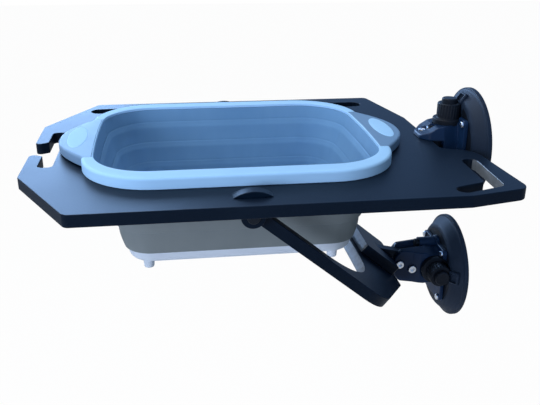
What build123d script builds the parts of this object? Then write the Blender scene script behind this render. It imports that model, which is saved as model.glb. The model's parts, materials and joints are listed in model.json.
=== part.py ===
from build123d import *
import os
from collections import namedtuple
from math import atan2, cos, degrees, radians, sin, tan

os.makedirs("parts", exist_ok=True)

# Portable sink: a collapsible wash basin in a sheet-cut tray table that two vacuum cups hold to a
# vehicle's side. Everything is built in the table's frame: X towards the wall, Y away from the user,
# Z up, zero at the middle of the basin on the board's top face. save() then moves each piece to the
# part's frame, whose origin is the middle of the upper cup's contact face.

# General fits
sheet = 12.0
slot_fit = 0.1
running_fit = 0.05
screw_fit = 0.15
band_gap = 0.4
overcut = 1.0

# Basin opening, and how its outline draws in for each millimetre below the lip
opening_half_length = 141.0
opening_bow = 5.0
opening_half_width = 117.0
opening_corner = 58.0
end_lean = 0.205
side_lean = 0.09
corner_lean = 0.27

# Rim
rim_height = 12.0
rim_end_width = 11.0
rim_side_width = 19.0
rim_corner_width = 14.0
rim_skin = 2.5
lip_width = 2.6
lip_depth = 3.0
skirt_width = 2.0

# Folding wall in bands, counted from the rim, and the rigid base
wall_thickness = 2.2
band_lap = 2.0
band_names = ("wall_rim_band", "wall_upper_band", "wall_lower_band", "wall_base_band")
band_depths = (17.0, 24.0, 24.0, 24.0)
base_depth = 12.0
base_floor = 2.5
base_skin = 2.5
foot_radius = 6.0
foot_height = 13.0
foot_end_inset = 21.0
foot_side_inset = 20.0

# End grips and their oval caps
grip_length = 33.0
grip_seam_y = 69.0
grip_seam_set = 3.0
grip_seam_round = 2.0
grip_shoulder_set = 9.0
grip_shoulder_y = 41.0
grip_shoulder_round = 30.0
grip_tip_set = 1.5
grip_tip_round = 60.0
grip_bottom = 1.5
grip_core_inset = 6.0
grip_core_skin = 2.0
grip_core_thickness = 2.5
oval_set = 14.0
oval_half_x = 10.0
oval_half_y = 37.0
oval_depth = 1.6
oval_proud = 0.4

# Drain
drain_x = 62.0
drain_radius = 18.0
plug_fit = 0.5
plug_flange_lap = 4.0
plug_flange_height = 3.0
plug_below = 3.0
plug_knob_radius = 6.0
plug_knob_height = 9.0
seal_width = 2.0

# Table board, as margins round the basin's rim
cutout_gap = 1.5
board_side_margin = 49.0
board_left_margin = 62.0
board_right_margin = 68.0
left_chamfer_run = 54.0
left_chamfer_rise = 99.0
right_chamfer_run = 21.0
right_chamfer_rise = 107.0
corner_round = 7.0
carry_tab_length = 39.0
carry_tab_set = 13.0
carry_tab_width = 112.0
carry_tab_lean = 6.0
carry_tab_root = 14.0
carry_tab_round = 26.0
carry_corner_round = 12.0
carry_root_round = 8.0
tongue_round = 1.5

# Openings in the board
tee_mouth = 31.0
tee_throat = 47.0
tee_depth = 14.0
tee_head_width = 14.5
tee_head_length = 120.0
tee_round = 5.0
tee_throat_round = 2.0
handle_slot_width = 15.5
handle_slot_edge = 28.0
handle_slot_front = 14.5
handle_slot_length = 65.0
handle_slot_lean = 3.0
handle_slot_left_set = 23.0
handle_slot_left_front = 16.5
handle_slot_round = 5.0
rear_slot_width = 21.0
rear_slot_set = 34.0
rear_slot_left_set = 48.0
rear_slot_right_set = 37.0
rear_slot_length = 97.0

# Hinge of the swinging support
pivot_x = 2.0
pivot_clear = 0.6
hinge_margin = 30.0
hinge_lug_radius = 11.5
hinge_head_chord = 37.0
hinge_head_rise = 5.8
bolt_radius = 3.0
bolt_head_radius = 6.0
bolt_head_height = 3.0
bolt_head_round = 1.0
bush_wall = 1.0
nut_radius = 5.0
nut_height = 4.5
nut_gap = 0.3

# Support yoke, measured along its slope from the pivot
yoke_angle = 39.5
leg_gap = 0.5
leg_width = 12.0
yoke_basin_clear = 25.0
yoke_fork_round = 75.0
yoke_shoulder_set = 4.0
yoke_end_set = 70.0
yoke_end_half = 50.0
yoke_end_round = 10.0
yoke_shoulder_round = 40.0

# Block and tongue at the yoke's end
block_set = 9.0
block_length = 53.0
block_half_width = 37.0
block_round = 4.0
tenon_set = 28.0
tenon_length = 19.0
tongue_back_set = 5.0
tongue_foot_rise = 5.0
tongue_shoulder = 8.0
block_screw_set = (9.0, 21.0)
block_screw_y = 27.0
block_screw_radius = 2.0
block_screw_head = 4.0
block_screw_head_height = 2.5
block_screw_reach = 8.0

# Vacuum cups and their adapters, each in a frame of its own: x along the cup's axis with zero at the
# contact face, y across, z towards the pump.
cup_standoff = 52.0
lower_cup_reach = 82.0
lower_cup_rise = 0.7
lower_hood_shift = 8.0
sheet_lift = 3.0
cup_radius = 62.0
cup_depth = 17.0
cup_lip = 8.0
cup_edge = 5.0
cup_bevel = 2.0
cup_knee_back = 12.2
cup_knee_front = 7.1
plate_edge = 2.5
plate_thickness = 6.0
pad_radius = 14.0
web_thickness = 2.0
flange_margin = 5.0
flange_thickness = 5.0
flange_round = 5.0
flange_screw_clear = 0.3
flange_screw_radius = 2.0
flange_screw_head = 3.5
flange_screw_head_height = 2.5
flange_screw_end = 1.0
tab_pocket_length = 8.0
tab_pocket_width = 12.0
tab_pocket_depth = 1.6

# Adapter hood, heights above the sheet's face that it sits on
hood_half = 24.0
neck_half = 21.0
neck_length = 4.0
neck_round = 3.0
hood_round = 8.0
tongue_half = 17.0
hood_rise = 18.0
hood_draft = 15.0
hood_shoulder_rise = 14.0
hood_shoulder_reach = 6.0
hood_waist_rise = 9.0
hood_waist_reach = 14.0
hood_slope_round = 5.0
root_drop = 14.0
root_round = 4.0
sheet_set = 11.5
upper_nose_set = 24.5
lower_nose_set = 35.5
nose_half = 11.0
nose_round = 11.0
nose_cheek = 21.0
nose_cheek_round = 6.0
nose_rise = 3.5
nose_edge_round = 1.0
jaw_thickness = 8.0
upper_screw_set = (16.0, 8.5)
lower_screw_set = (28.5, 14.0)
nose_screw_rise = (3.5, 7.5)
nose_screw_stagger = 2.5
nose_screw_radius = 2.5
nose_screw_head = 4.6
nose_screw_head_height = 4.0
nose_screw_socket = 2.3
nose_nut_radius = 4.6
nose_nut_height = 4.0

# Pump and release valve
pump_radius = 13.0
pump_wall = 4.5
pump_ring_step = 4.0
pump_ring_rise = 14.0
pump_ring_height = 7.0
pump_barrel_height = 24.0
pump_floor = 3.0
pump_stroke = 10.0
pump_sink = 6.0
plunger_proud = 5.5
plunger_round = 1.5
plunger_ring_depth = 1.5
plunger_ring_height = 2.0
spring_set = 2.5
spring_wire = 0.6
spring_turns = 2.5
plunger_travel = 5.0
valve_inset = 2.0
valve_z = 0.0
valve_radius = 6.5
valve_ear = 1.5
valve_length = 20.0
valve_button_wall = 1.7
valve_button_proud = 5.0
valve_button_inside = 8.0
valve_button_round = 1.0
valve_travel = 3.0

# Sizes that follow from the ones above
rim_half_length = opening_half_length + rim_end_width
rim_half_width = opening_half_width + rim_side_width
rim_corner = opening_corner + rim_corner_width
lip_bottom = rim_height - lip_depth
skirt_edge = lip_width + skirt_width
band_step = wall_thickness + band_gap
base_bottom = lip_bottom - sum(band_depths) - base_depth
grip_reach = rim_half_length + grip_length
oval_x = rim_half_length + oval_set
board_half_depth = rim_half_width + board_side_margin
board_left = rim_half_length + board_left_margin
board_right = rim_half_length + board_right_margin
carry_tab_right = board_right + carry_tab_length
carry_tab_front = board_half_depth - carry_tab_set
carry_tab_back = carry_tab_front - carry_tab_width
hinge_plate_outer = rim_half_width + hinge_margin
leg_outer = hinge_plate_outer - sheet - leg_gap
leg_inner = leg_outer - leg_width
pivot_z = -sheet - sheet / 2 - pivot_clear
bush_radius = bolt_radius + running_fit + bush_wall
yoke_fork = opening_half_length + yoke_basin_clear
yoke_shoulder = yoke_fork + yoke_shoulder_set
yoke_length = yoke_fork + yoke_end_set
block_start = yoke_fork + block_set
block_end = block_start + block_length
block_top = 3 * sheet / 2
tenon_start = block_start + tenon_set
tenon_end = tenon_start + tenon_length
seat = sheet_lift + sheet / 2
sheet_back = sheet_lift - sheet / 2
plunger_radius = pump_radius - pump_wall
pump_ring_radius = pump_radius + pump_ring_step
flange_screw_offset = lower_hood_shift + pump_ring_radius + flange_screw_head + flange_screw_clear
flange_half = flange_screw_offset + flange_margin
flange_front = cup_depth + flange_thickness
plate_radius = flange_screw_offset * 2 ** 0.5 + flange_screw_radius + plate_edge
plate_front = -cup_depth + plate_thickness
cup_knee = (cup_radius + plate_radius) / 2
hood_top = seat + hood_rise
root_bottom = sheet_back - root_drop
pump_x = cup_depth - pump_sink + pump_ring_radius
pump_bottom = seat + pump_ring_rise
pump_top = pump_bottom + pump_barrel_height
plunger_bottom = pump_bottom + pump_floor + pump_stroke
plunger_ring_bottom = plunger_bottom + plunger_ring_height
sheet_reach = pump_x + sheet_set
valve_y = flange_half - valve_inset
valve_end = flange_front + valve_length
valve_button_radius = valve_radius - valve_button_wall
turn = radians(yoke_angle)
lower_cup_x = pivot_x + yoke_length * cos(turn) + lower_cup_reach
lower_cup_z = pivot_z - yoke_length * sin(turn) + lower_cup_rise
upper_cup_x = board_right + cup_standoff
upper_cup_z = -sheet / 2 - sheet_lift
yoke_place = Pos(pivot_x, 0, pivot_z) * Rot(0, yoke_angle, 0)
Cup = namedtuple("Cup", "place shift nose_reach screw_set")
upper = Cup(Pos(upper_cup_x, 0, upper_cup_z), 0.0, sheet_reach + upper_nose_set, upper_screw_set)
lower = Cup(Pos(lower_cup_x, sheet_lift, lower_cup_z) * Rot(90, 0, 0), lower_hood_shift,
            sheet_reach + lower_nose_set, lower_screw_set)
part_frame = Pos(-upper_cup_x, 0, -upper_cup_z)


def save(name, *solids):
    """Write one node, moved from the table's frame to the part's frame."""
    moved = [part_frame * solid for solid in solids]
    shape = moved[0] if len(moved) == 1 else Compound(children=moved)
    export_step(shape, f"parts/{name}.step")


def rounded(corners):
    """Face through corners (x, y, r), each rounded to its own radius r."""
    edges = []
    ends = []
    for index, (x, y, r) in enumerate(corners):
        here = Vector(x, y)
        back = (Vector(*corners[index - 1][:2]) - here).normalized()
        onward = (Vector(*corners[(index + 1) % len(corners)][:2]) - here).normalized()
        half = radians(back.get_angle(onward)) / 2
        if r > 0:
            reach = r / tan(half)
            bisector = (back + onward).normalized()
            middle = here + bisector * (r / sin(half) - r)
            edges.append(ThreePointArc(here + back * reach, middle, here + onward * reach))
            ends.append((here + back * reach, here + onward * reach))
        else:
            ends.append((here, here))
    for index, (start, _) in enumerate(ends):
        edges.append(Line(ends[index - 1][1], start))
    return make_face(edges)


def mirrored(half):
    """Whole outline from the corners (x, y, r) of its half with positive y."""
    return half + [(x, -y, r) for x, y, r in reversed(half)]


def slot_between(start, end, width):
    """Round-ended slot whose end centres are start and end."""
    across = (end[0] - start[0], end[1] - start[1])
    middle = Pos((start[0] + end[0]) / 2, (start[1] + end[1]) / 2)
    heading = Rot(0, 0, degrees(atan2(across[1], across[0])))
    return middle * heading * SlotCenterToCenter((across[0] ** 2 + across[1] ** 2) ** 0.5, width)


def bowed(half_length, half_width, corner):
    """Face with straight long sides, bowed ends and round corners."""
    tip = half_length + opening_bow
    right = ThreePointArc((half_length, -half_width), (tip, 0), (half_length, half_width))
    left = ThreePointArc((-half_length, half_width), (-tip, 0), (-half_length, -half_width))
    back = Line((half_length, half_width), (-half_length, half_width))
    front = Line((-half_length, -half_width), (half_length, -half_width))
    face = make_face([right, back, left, front])
    return fillet(face.vertices(), corner)


def opening(inset, drop=0.0):
    """The basin's opening drawn in by inset all round, at a drop below the lip."""
    return bowed(opening_half_length - inset - end_lean * drop,
                 opening_half_width - inset - side_lean * drop,
                 opening_corner - inset - corner_lean * drop)


def tapered(inset, top_drop, bottom_drop):
    """Solid of the basin's outline between two drops below the lip."""
    upper = Pos(0, 0, lip_bottom - top_drop) * opening(inset, top_drop)
    lower = Pos(0, 0, lip_bottom - bottom_drop) * opening(inset, bottom_drop)
    return loft([upper, lower])


def upright(face, near, far):
    """Plate from an x-z face, between the y values near and far."""
    return Pos(0, far, 0) * extrude(Plane.XZ * face, far - near)


def rod(radius, start, end):
    """Round bar along the x axis."""
    return Pos(start, 0, 0) * Rot(0, 90, 0) * Cylinder(
        radius, end - start, align=(Align.CENTER, Align.CENTER, Align.MIN))


def post(radius, bottom, top):
    """Round bar along the z axis."""
    return Pos(0, 0, bottom) * Cylinder(
        radius, top - bottom, align=(Align.CENTER, Align.CENTER, Align.MIN))


def hexagon(radius, bottom, top):
    """Six-sided bar along the z axis."""
    return Pos(0, 0, bottom) * extrude(RegularPolygon(radius, 6), top - bottom)


def board_outline():
    """The board seen from above, before its openings are cut."""
    tongue_end = upper_cup_x - sheet_reach - slot_fit
    throat = board_left - tee_depth
    head = throat - tee_head_width
    left_end = [
        (left_chamfer_run - board_left, board_half_depth, corner_round),
        (-board_left, board_half_depth - left_chamfer_rise, corner_round),
        (-board_left, tee_mouth / 2, tee_round),
        (-throat, tee_throat / 2, tee_throat_round),
        (-throat, tee_head_length / 2, tee_round),
        (-head, tee_head_length / 2, tee_round),
    ]
    right_end = [
        (board_right - right_chamfer_run, -board_half_depth, corner_round),
        (carry_tab_right, -carry_tab_front, carry_corner_round),
        (carry_tab_right - carry_tab_lean, -carry_tab_back, carry_tab_round),
        (board_right, carry_tab_root - carry_tab_back, carry_root_round),
        (board_right, -tongue_half, tongue_round),
        (tongue_end, -tongue_half, tongue_round),
        (tongue_end, tongue_half, tongue_round),
        (board_right, tongue_half, tongue_round),
        (board_right, board_half_depth - right_chamfer_rise, corner_round),
        (board_right - right_chamfer_run, board_half_depth, corner_round),
    ]
    return rounded(mirrored(left_end) + right_end)


def carry_slot():
    """Angled grip slot along the carry tab's edge."""
    elbow = (carry_tab_right - handle_slot_edge, handle_slot_front - carry_tab_front)
    left = (board_right - handle_slot_left_set, handle_slot_left_front - board_half_depth)
    back = (elbow[0] + handle_slot_lean, elbow[1] + handle_slot_length)
    slot = slot_between(left, elbow, handle_slot_width) + slot_between(elbow, back, handle_slot_width)
    inside = Vector(elbow[0] - handle_slot_width / 2, elbow[1] + handle_slot_width / 2)
    corner = min(slot.vertices(), key=lambda vertex: (vertex.center() - inside).length)
    return fillet([corner], handle_slot_round)


def rear_slots():
    """Two long slots along the board's far edge."""
    y = board_half_depth - rear_slot_set
    run = rear_slot_length - rear_slot_width
    left = rear_slot_left_set - board_left + rear_slot_width / 2
    right = board_right - rear_slot_right_set - rear_slot_width / 2
    return [slot_between((left, y), (left + run, y), rear_slot_width),
            slot_between((right - run, y), (right, y), rear_slot_width)]


def table_board():
    face = board_outline() - opening(-wall_thickness - cutout_gap)
    for cut in [carry_slot(), *rear_slots()]:
        face -= cut
    hinge_middle = hinge_plate_outer - sheet / 2
    for side in (-1, 1):
        face -= Pos(pivot_x, side * hinge_middle) * Rectangle(
            2 * (hinge_lug_radius + slot_fit), sheet + 2 * slot_fit)
    board = Pos(0, 0, -sheet) * extrude(face, sheet)
    for x, y in nose_screw_spots(upper):
        board -= upper.place * Pos(-x, y, 0) * post(nose_screw_radius + screw_fit, -2 * sheet, 2 * sheet)
    return board


def hinge_plate(side):
    """Sheet lug dropped through the board: arched head above, pivot eye below."""
    half = hinge_head_chord / 2
    arch = make_face([
        ThreePointArc((pivot_x - half, 0), (pivot_x, hinge_head_rise), (pivot_x + half, 0)),
        Line((pivot_x + half, 0), (pivot_x - half, 0)),
    ])
    neck = Pos(pivot_x, pivot_z / 2) * Rectangle(2 * hinge_lug_radius, -pivot_z)
    eye = Pos(pivot_x, pivot_z) * Circle(hinge_lug_radius)
    hole = Pos(pivot_x, pivot_z) * Circle(bolt_radius + screw_fit)
    face = arch + neck + eye - hole
    inner = hinge_plate_outer - sheet
    if side > 0:
        return upright(face, inner, hinge_plate_outer)
    return upright(face, -hinge_plate_outer, -inner)


def on_pivot(side, piece):
    """Put a piece made along z, with zero at the hinge plate's outer face, on a pivot."""
    inwards = Rot(90, 0, 0) if side > 0 else Rot(-90, 0, 0)
    return Pos(pivot_x, side * hinge_plate_outer, pivot_z) * inwards * piece


def pivot_bolt(side):
    end = hinge_plate_outer - leg_inner + nut_gap + nut_height
    head = post(bolt_head_radius, -bolt_head_height, 0)
    head = fillet(head.edges().sort_by(Axis.Z)[0], bolt_head_round)
    return on_pivot(side, head + post(bolt_radius, 0, end))


def pivot_nut(side):
    start = hinge_plate_outer - leg_inner + nut_gap
    nut = hexagon(nut_radius, start, start + nut_height)
    return on_pivot(side, nut - post(bolt_radius + screw_fit, start, start + nut_height))


def pivot_bush(side):
    start = hinge_plate_outer - leg_outer
    bush = post(bush_radius, start, start + leg_width)
    return on_pivot(side, bush - post(bolt_radius + running_fit, start, start + leg_width))


def support_yoke():
    """Flat U-shaped support, drawn along its slope, with an eye at the end of each leg."""
    half = [
        (0, leg_outer, 0),
        (yoke_shoulder, leg_outer, yoke_shoulder_round),
        (yoke_length, yoke_end_half, yoke_end_round),
    ]
    outline = rounded(list(reversed(mirrored(half))))
    fork = rounded([
        (-leg_width, -leg_inner, 0),
        (yoke_fork, -leg_inner, yoke_fork_round),
        (yoke_fork, leg_inner, yoke_fork_round),
        (-leg_width, leg_inner, 0),
    ])
    plate = Pos(0, 0, -sheet / 2) * extrude(outline - fork, sheet)
    for side in (-1, 1):
        eye = Pos(0, side * (leg_outer - leg_width / 2), 0) * Rot(90, 0, 0)
        plate += eye * Cylinder(sheet / 2, leg_width)
        plate -= eye * Cylinder(bush_radius + running_fit, leg_width + overcut)
    plate -= tenon_hole(-sheet / 2, sheet / 2)
    head_top = block_screw_head_height - sheet / 2
    for s, y in block_screw_spots():
        plate -= Pos(s, y, 0) * post(block_screw_radius + screw_fit, -sheet, sheet)
        plate -= Pos(s, y, 0) * post(block_screw_head + screw_fit, -sheet, head_top)
    return yoke_place * plate


def tenon_hole(bottom, top):
    middle = (tenon_start + tenon_end) / 2
    return Pos(middle, 0, (bottom + top) / 2) * Box(
        tenon_length + 2 * slot_fit, sheet + 2 * slot_fit, top - bottom)


def block_screw_spots():
    return [(block_start + s, side * block_screw_y) for s in block_screw_set for side in (-1, 1)]


def yoke_block():
    """Packing block on the yoke's upper face."""
    plan = RectangleRounded(block_length, 2 * block_half_width, block_round)
    block = Pos((block_start + block_end) / 2, 0, sheet / 2) * extrude(plan, sheet)
    block -= tenon_hole(sheet / 2, block_top)
    for s, y in block_screw_spots():
        block -= Pos(s, y, 0) * post(block_screw_radius + screw_fit, 0, sheet / 2 + block_screw_reach)
    return yoke_place * block


def block_screw(s, y):
    bottom = -sheet / 2
    screw = post(block_screw_head, bottom, bottom + block_screw_head_height)
    screw += post(block_screw_radius, bottom, sheet / 2 + block_screw_reach - slot_fit)
    return yoke_place * Pos(s, y, 0) * screw


def yoke_point(s, off):
    """Table x and z of a point on the yoke, s along it and off above its middle plane."""
    return (pivot_x + s * cos(turn) + off * sin(turn), pivot_z - s * sin(turn) + off * cos(turn))


def lower_tongue():
    """Upright sheet piece: tenon through block and yoke, then the tongue the adapter clamps."""
    tongue_end = lower_cup_x - sheet_reach - slot_fit
    nose_end = lower_cup_x - lower.nose_reach
    high = lower_cup_z + lower_hood_shift + tongue_half
    low = lower_cup_z + lower_hood_shift - tongue_half
    corners = [
        (*yoke_point(tenon_start, -sheet / 2), 0),
        (*yoke_point(tenon_end, -sheet / 2), 0),
        (*yoke_point(tenon_end, block_top), 0),
        (*yoke_point(block_end, block_top + slot_fit), 0),
        (nose_end, low + tongue_foot_rise, 0),
        (tongue_end, low, tongue_round),
        (tongue_end, high, tongue_round),
        (nose_end + tongue_shoulder, high, tongue_round),
        (*yoke_point(tenon_start + tongue_back_set, block_top + slot_fit), 0),
        (*yoke_point(tenon_start, block_top), 0),
    ]
    plate = upright(rounded(corners), -sheet / 2, sheet / 2)
    for x, y in nose_screw_spots(lower):
        plate -= lower.place * Pos(-x, y, 0) * post(nose_screw_radius + screw_fit, -2 * sheet, 2 * sheet)
    return plate


def nose_screw_spots(cup):
    """Places (x, y) of the two screws along the adapter's nose."""
    far, near = (sheet_reach + step for step in cup.screw_set)
    return [(far, cup.shift + nose_screw_stagger), (near, cup.shift - nose_screw_stagger)]


def nose_plan(cup, end):
    """Adapter seen from the pump: neck through the flange, cheeks, round nose."""
    cheek_x = sheet_reach + cup.screw_set[0]
    half = [
        (-cup.nose_reach, nose_half, nose_round),
        (-cheek_x, nose_cheek, nose_cheek_round),
        (-sheet_reach, hood_half, hood_round),
        (-flange_front - neck_length, neck_half, neck_round),
        (-cup_depth, neck_half, 0),
    ]
    plan = rounded(list(reversed(mirrored(half))))
    kept = Pos(-(cup.nose_reach + end) / 2, 0) * Rectangle(cup.nose_reach - end, 2 * hood_half)
    return plan & kept


def adapter(cup):
    """Hood with sloping sides over the sheet, root behind its end, square flange for the cup."""
    shift = cup.shift
    side = rounded([
        (-flange_front, hood_top, 0),
        (-sheet_reach - hood_shoulder_reach, seat + hood_shoulder_rise, hood_slope_round),
        (-sheet_reach - hood_waist_reach, seat + hood_waist_rise, hood_slope_round),
        (-cup.nose_reach, seat + nose_rise, nose_edge_round),
        (-cup.nose_reach, seat, 0),
        (-sheet_reach, seat, 0),
        (-sheet_reach, root_bottom, root_round),
        (-flange_front, root_bottom, 0),
    ])
    plan = nose_plan(cup, cup_depth)
    blank = Pos(0, 0, root_bottom) * extrude(plan, seat - root_bottom)
    blank += Pos(0, 0, seat) * extrude(plan, hood_rise, taper=hood_draft)
    hood = Pos(0, shift, 0) * (blank & upright(side, -hood_half, hood_half))
    square = RectangleRounded(2 * flange_half, 2 * flange_half, flange_round)
    flange = Pos(-flange_front, 0, 0) * Rot(0, 90, 0) * extrude(square, flange_thickness)
    ear = Pos(0, valve_y, valve_z) * rod(valve_radius + valve_ear, -flange_front, -cup_depth)
    body = hood + flange + ear
    body -= Pos(-pump_x, shift, 0) * post(pump_ring_radius + slot_fit, pump_bottom, pump_top)
    body -= valve_cradle(cup)
    for y, z in flange_screw_spots():
        screw_line = Pos(0, y, z)
        body -= screw_line * rod(flange_screw_radius + screw_fit, -flange_front, overcut - cup_depth)
        body -= screw_line * rod(flange_screw_head + screw_fit, -cup.nose_reach, -flange_front)
    for (x, y), rise in zip(nose_screw_spots(cup), nose_screw_rise):
        body -= Pos(-x, y, 0) * post(nose_screw_radius + screw_fit, 0, hood_top)
        body -= Pos(-x, y, 0) * post(nose_screw_head + screw_fit, seat + rise, hood_top + overcut)
    return body


def valve_cradle(cup):
    """Room for the release valve beside the hood."""
    return Pos(0, valve_y, valve_z) * rod(valve_radius + slot_fit, -cup.nose_reach, -flange_front)


def flange_screw_spots():
    offset = flange_screw_offset
    return [(y, z) for y in (-offset, offset) for z in (-offset, offset)]


def clamp_jaw(cup):
    """Counter plate on the far side of the sheet, with a pocket for each nut."""
    bottom = sheet_back - jaw_thickness
    jaw = Pos(0, cup.shift, bottom) * extrude(nose_plan(cup, sheet_reach + slot_fit), jaw_thickness)
    for x, y in nose_screw_spots(cup):
        jaw -= Pos(-x, y, 0) * post(nose_screw_radius + screw_fit, bottom - overcut, seat)
        jaw -= Pos(-x, y, 0) * hexagon(nose_nut_radius + screw_fit, bottom - overcut,
                                       bottom + nose_nut_height)
    return jaw - valve_cradle(cup)


def nose_screw(x, y, rise):
    level = seat + rise
    screw = post(nose_screw_head, level, level + nose_screw_head_height)
    screw -= hexagon(nose_screw_socket, level + nose_screw_head_height / 2, level + 2 * sheet)
    screw += post(nose_screw_radius, sheet_back - jaw_thickness, level)
    return Pos(-x, y, 0) * screw


def nose_nut(x, y):
    bottom = sheet_back - jaw_thickness
    nut = hexagon(nose_nut_radius, bottom, bottom + nose_nut_height)
    return Pos(-x, y, 0) * (nut - post(nose_screw_radius + screw_fit, bottom - overcut, seat))


def flange_screw(y, z):
    screw = rod(flange_screw_head, -flange_front - flange_screw_head_height, -flange_front)
    screw += rod(flange_screw_radius, -flange_front, plate_front - flange_screw_end)
    return Pos(0, y, z) * screw


def pump_notch(shift):
    """Hollow in the cup's back that the pump nests in."""
    return Pos(-pump_x, shift, 0) * post(pump_ring_radius + slot_fit, pump_bottom - slot_fit, cup_radius)


def cup_plate(shift):
    """Rigid core of the cup, with a middle pad that bears on the wall."""
    plate = rod(plate_radius, -cup_depth, plate_front) + rod(pad_radius, -cup_depth, 0)
    for y, z in flange_screw_spots():
        plate -= Pos(0, y, z) * rod(flange_screw_radius + screw_fit, -cup_depth - overcut,
                                    plate_front - flange_screw_end + slot_fit)
    return plate - pump_notch(shift)


def cup_rubber(shift):
    """Rubber skirt round the core, with a flat lip on the wall and a lifting pocket."""
    hub = plate_radius + slot_fit
    web_front = plate_front + web_thickness
    bevel_radius = cup_radius - cup_bevel
    outline = [
        (pad_radius + slot_fit, plate_front),
        (hub, plate_front),
        (hub, -cup_depth),
        (cup_knee, -cup_knee_back),
        (bevel_radius, -cup_edge),
        (cup_radius, -cup_edge / 2),
        (cup_radius, 0),
        (cup_radius - cup_lip, 0),
        (cup_knee, -cup_knee_front),
        (hub, web_front),
        (pad_radius + slot_fit, web_front),
    ]
    section = make_face(Polyline(*[(x, r) for r, x in outline], close=True))
    rubber = revolve(section, axis=Axis.X)
    slope = degrees(atan2(cup_knee_back - cup_edge, bevel_radius - cup_knee))
    pocket = Box(2 * tab_pocket_depth, tab_pocket_width, tab_pocket_length)
    middle = Pos(-(cup_knee_back + cup_edge) / 2, shift, (cup_knee + bevel_radius) / 2)
    return rubber - middle * Rot(0, slope, 0) * pocket - pump_notch(shift)


def pump_barrel():
    barrel = post(pump_ring_radius, pump_bottom, pump_bottom + pump_ring_height)
    barrel += post(pump_radius, pump_bottom, pump_top)
    return barrel - post(plunger_radius + running_fit, pump_bottom + pump_floor, pump_top)


def plunger_groove(radius):
    """Ring-shaped space in the plunger's side, out to the given radius."""
    top = plunger_ring_bottom + plunger_ring_height
    return post(radius, plunger_ring_bottom, top) - post(
        plunger_radius - plunger_ring_depth, plunger_ring_bottom, top)


def pump_plunger():
    plunger = post(plunger_radius, plunger_bottom, pump_top + plunger_proud)
    plunger = fillet(plunger.edges().sort_by(Axis.Z)[-1], plunger_round)
    return plunger - plunger_groove(plunger_radius + overcut)


def pump_spring():
    """Return spring on the bore's floor, coiled as short as the pressed plunger leaves it."""
    height = pump_stroke - plunger_travel - 2 * spring_wire - 2 * slot_fit
    path = Helix(height / spring_turns, height, plunger_radius - spring_set)
    section = Plane(origin=path @ 0, z_dir=path % 0) * Circle(spring_wire)
    coil = sweep(section, path=path)
    return Pos(0, 0, pump_bottom + pump_floor + spring_wire + slot_fit) * coil


def valve_body():
    body = rod(valve_radius, -valve_end, -flange_front)
    depth = valve_button_inside + valve_travel
    return body - rod(valve_button_radius + running_fit, -valve_end - overcut, depth - valve_end)


def valve_button():
    button = rod(valve_button_radius, -valve_end - valve_button_proud, valve_button_inside - valve_end)
    return fillet(button.edges().sort_by(Axis.X)[0], valve_button_round)


def save_cup(prefix, cup):
    """Write the nodes of one vacuum cup with its adapter, pump and release valve."""
    place = cup.place
    spots = nose_screw_spots(cup)
    pump = place * Pos(-pump_x, cup.shift, 0)
    valve = place * Pos(0, valve_y, valve_z)
    save(f"{prefix}_adapter", place * adapter(cup))
    save(f"{prefix}_clamp_jaw", place * clamp_jaw(cup))
    save(f"{prefix}_nose_screws",
         *[place * nose_screw(x, y, rise) for (x, y), rise in zip(spots, nose_screw_rise)])
    save(f"{prefix}_nose_nuts", *[place * nose_nut(x, y) for x, y in spots])
    save(f"{prefix}_flange_screws", *[place * flange_screw(y, z) for y, z in flange_screw_spots()])
    save(f"{prefix}_cup_plate", place * cup_plate(cup.shift))
    save(f"{prefix}_cup_rubber", place * cup_rubber(cup.shift))
    save(f"{prefix}_pump_barrel", pump * pump_barrel())
    save(f"{prefix}_pump_plunger", pump * pump_plunger())
    save(f"{prefix}_plunger_ring", pump * plunger_groove(plunger_radius))
    save(f"{prefix}_pump_spring", pump * pump_spring())
    save(f"{prefix}_valve_body", valve * valve_body())
    save(f"{prefix}_valve_button", valve * valve_button())


def grip_outline():
    """Right end grip seen from above: straight seams at the rim, bulging outwards between them."""
    half = [
        (opening_half_length - opening_bow, grip_seam_y, 0),
        (rim_half_length + grip_seam_set, grip_seam_y, grip_seam_round),
        (grip_reach - grip_shoulder_set, grip_shoulder_y, grip_shoulder_round),
    ]
    tip = [(grip_reach + grip_tip_set, 0, grip_tip_round)]
    far_half = [(x, -y, r) for x, y, r in reversed(half)]
    return rounded(half + tip + far_half) - opening(-skirt_edge)


def grip_core():
    """Flat part of the rim that stiffens a grip, joined to the rim's skirt."""
    drawn_in = Pos(-grip_core_inset, 0) * grip_outline()
    band = Pos(rim_half_length, 0) * Rectangle(2 * grip_reach, 2 * (grip_seam_y - grip_core_inset))
    core = (drawn_in & band) - opening(-skirt_edge)
    return Pos(0, 0, grip_bottom + grip_core_skin) * extrude(core, grip_core_thickness)


def oval_pad(inset, height):
    """Oval in the grip's top, standing on the floor of its pocket."""
    oval = Ellipse(oval_half_x - inset, oval_half_y - inset)
    return Pos(oval_x, 0, rim_height - oval_depth) * extrude(oval, height)


def right_grip():
    grip = Pos(0, 0, grip_bottom) * extrude(grip_outline(), rim_height - grip_bottom)
    return grip - grip_core() - oval_pad(0, oval_depth)


def basin_rim():
    """Ring with a hollow underside, an inner lip and skirt, and a flat core for each grip."""
    ring = bowed(rim_half_length, rim_half_width, rim_corner)
    hollow = bowed(rim_half_length - rim_skin, rim_half_width - rim_skin, rim_corner - rim_skin)
    rim = extrude(ring - opening(0), rim_height)
    rim -= extrude(hollow - opening(-skirt_edge), rim_height - rim_skin)
    rim -= extrude(opening(-lip_width), lip_bottom)
    grip_gap = extrude(grip_outline(), rim_height)
    rim -= grip_gap
    rim -= grip_gap.mirror(Plane.YZ)
    core = grip_core()
    return rim + core + core.mirror(Plane.YZ)


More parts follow.
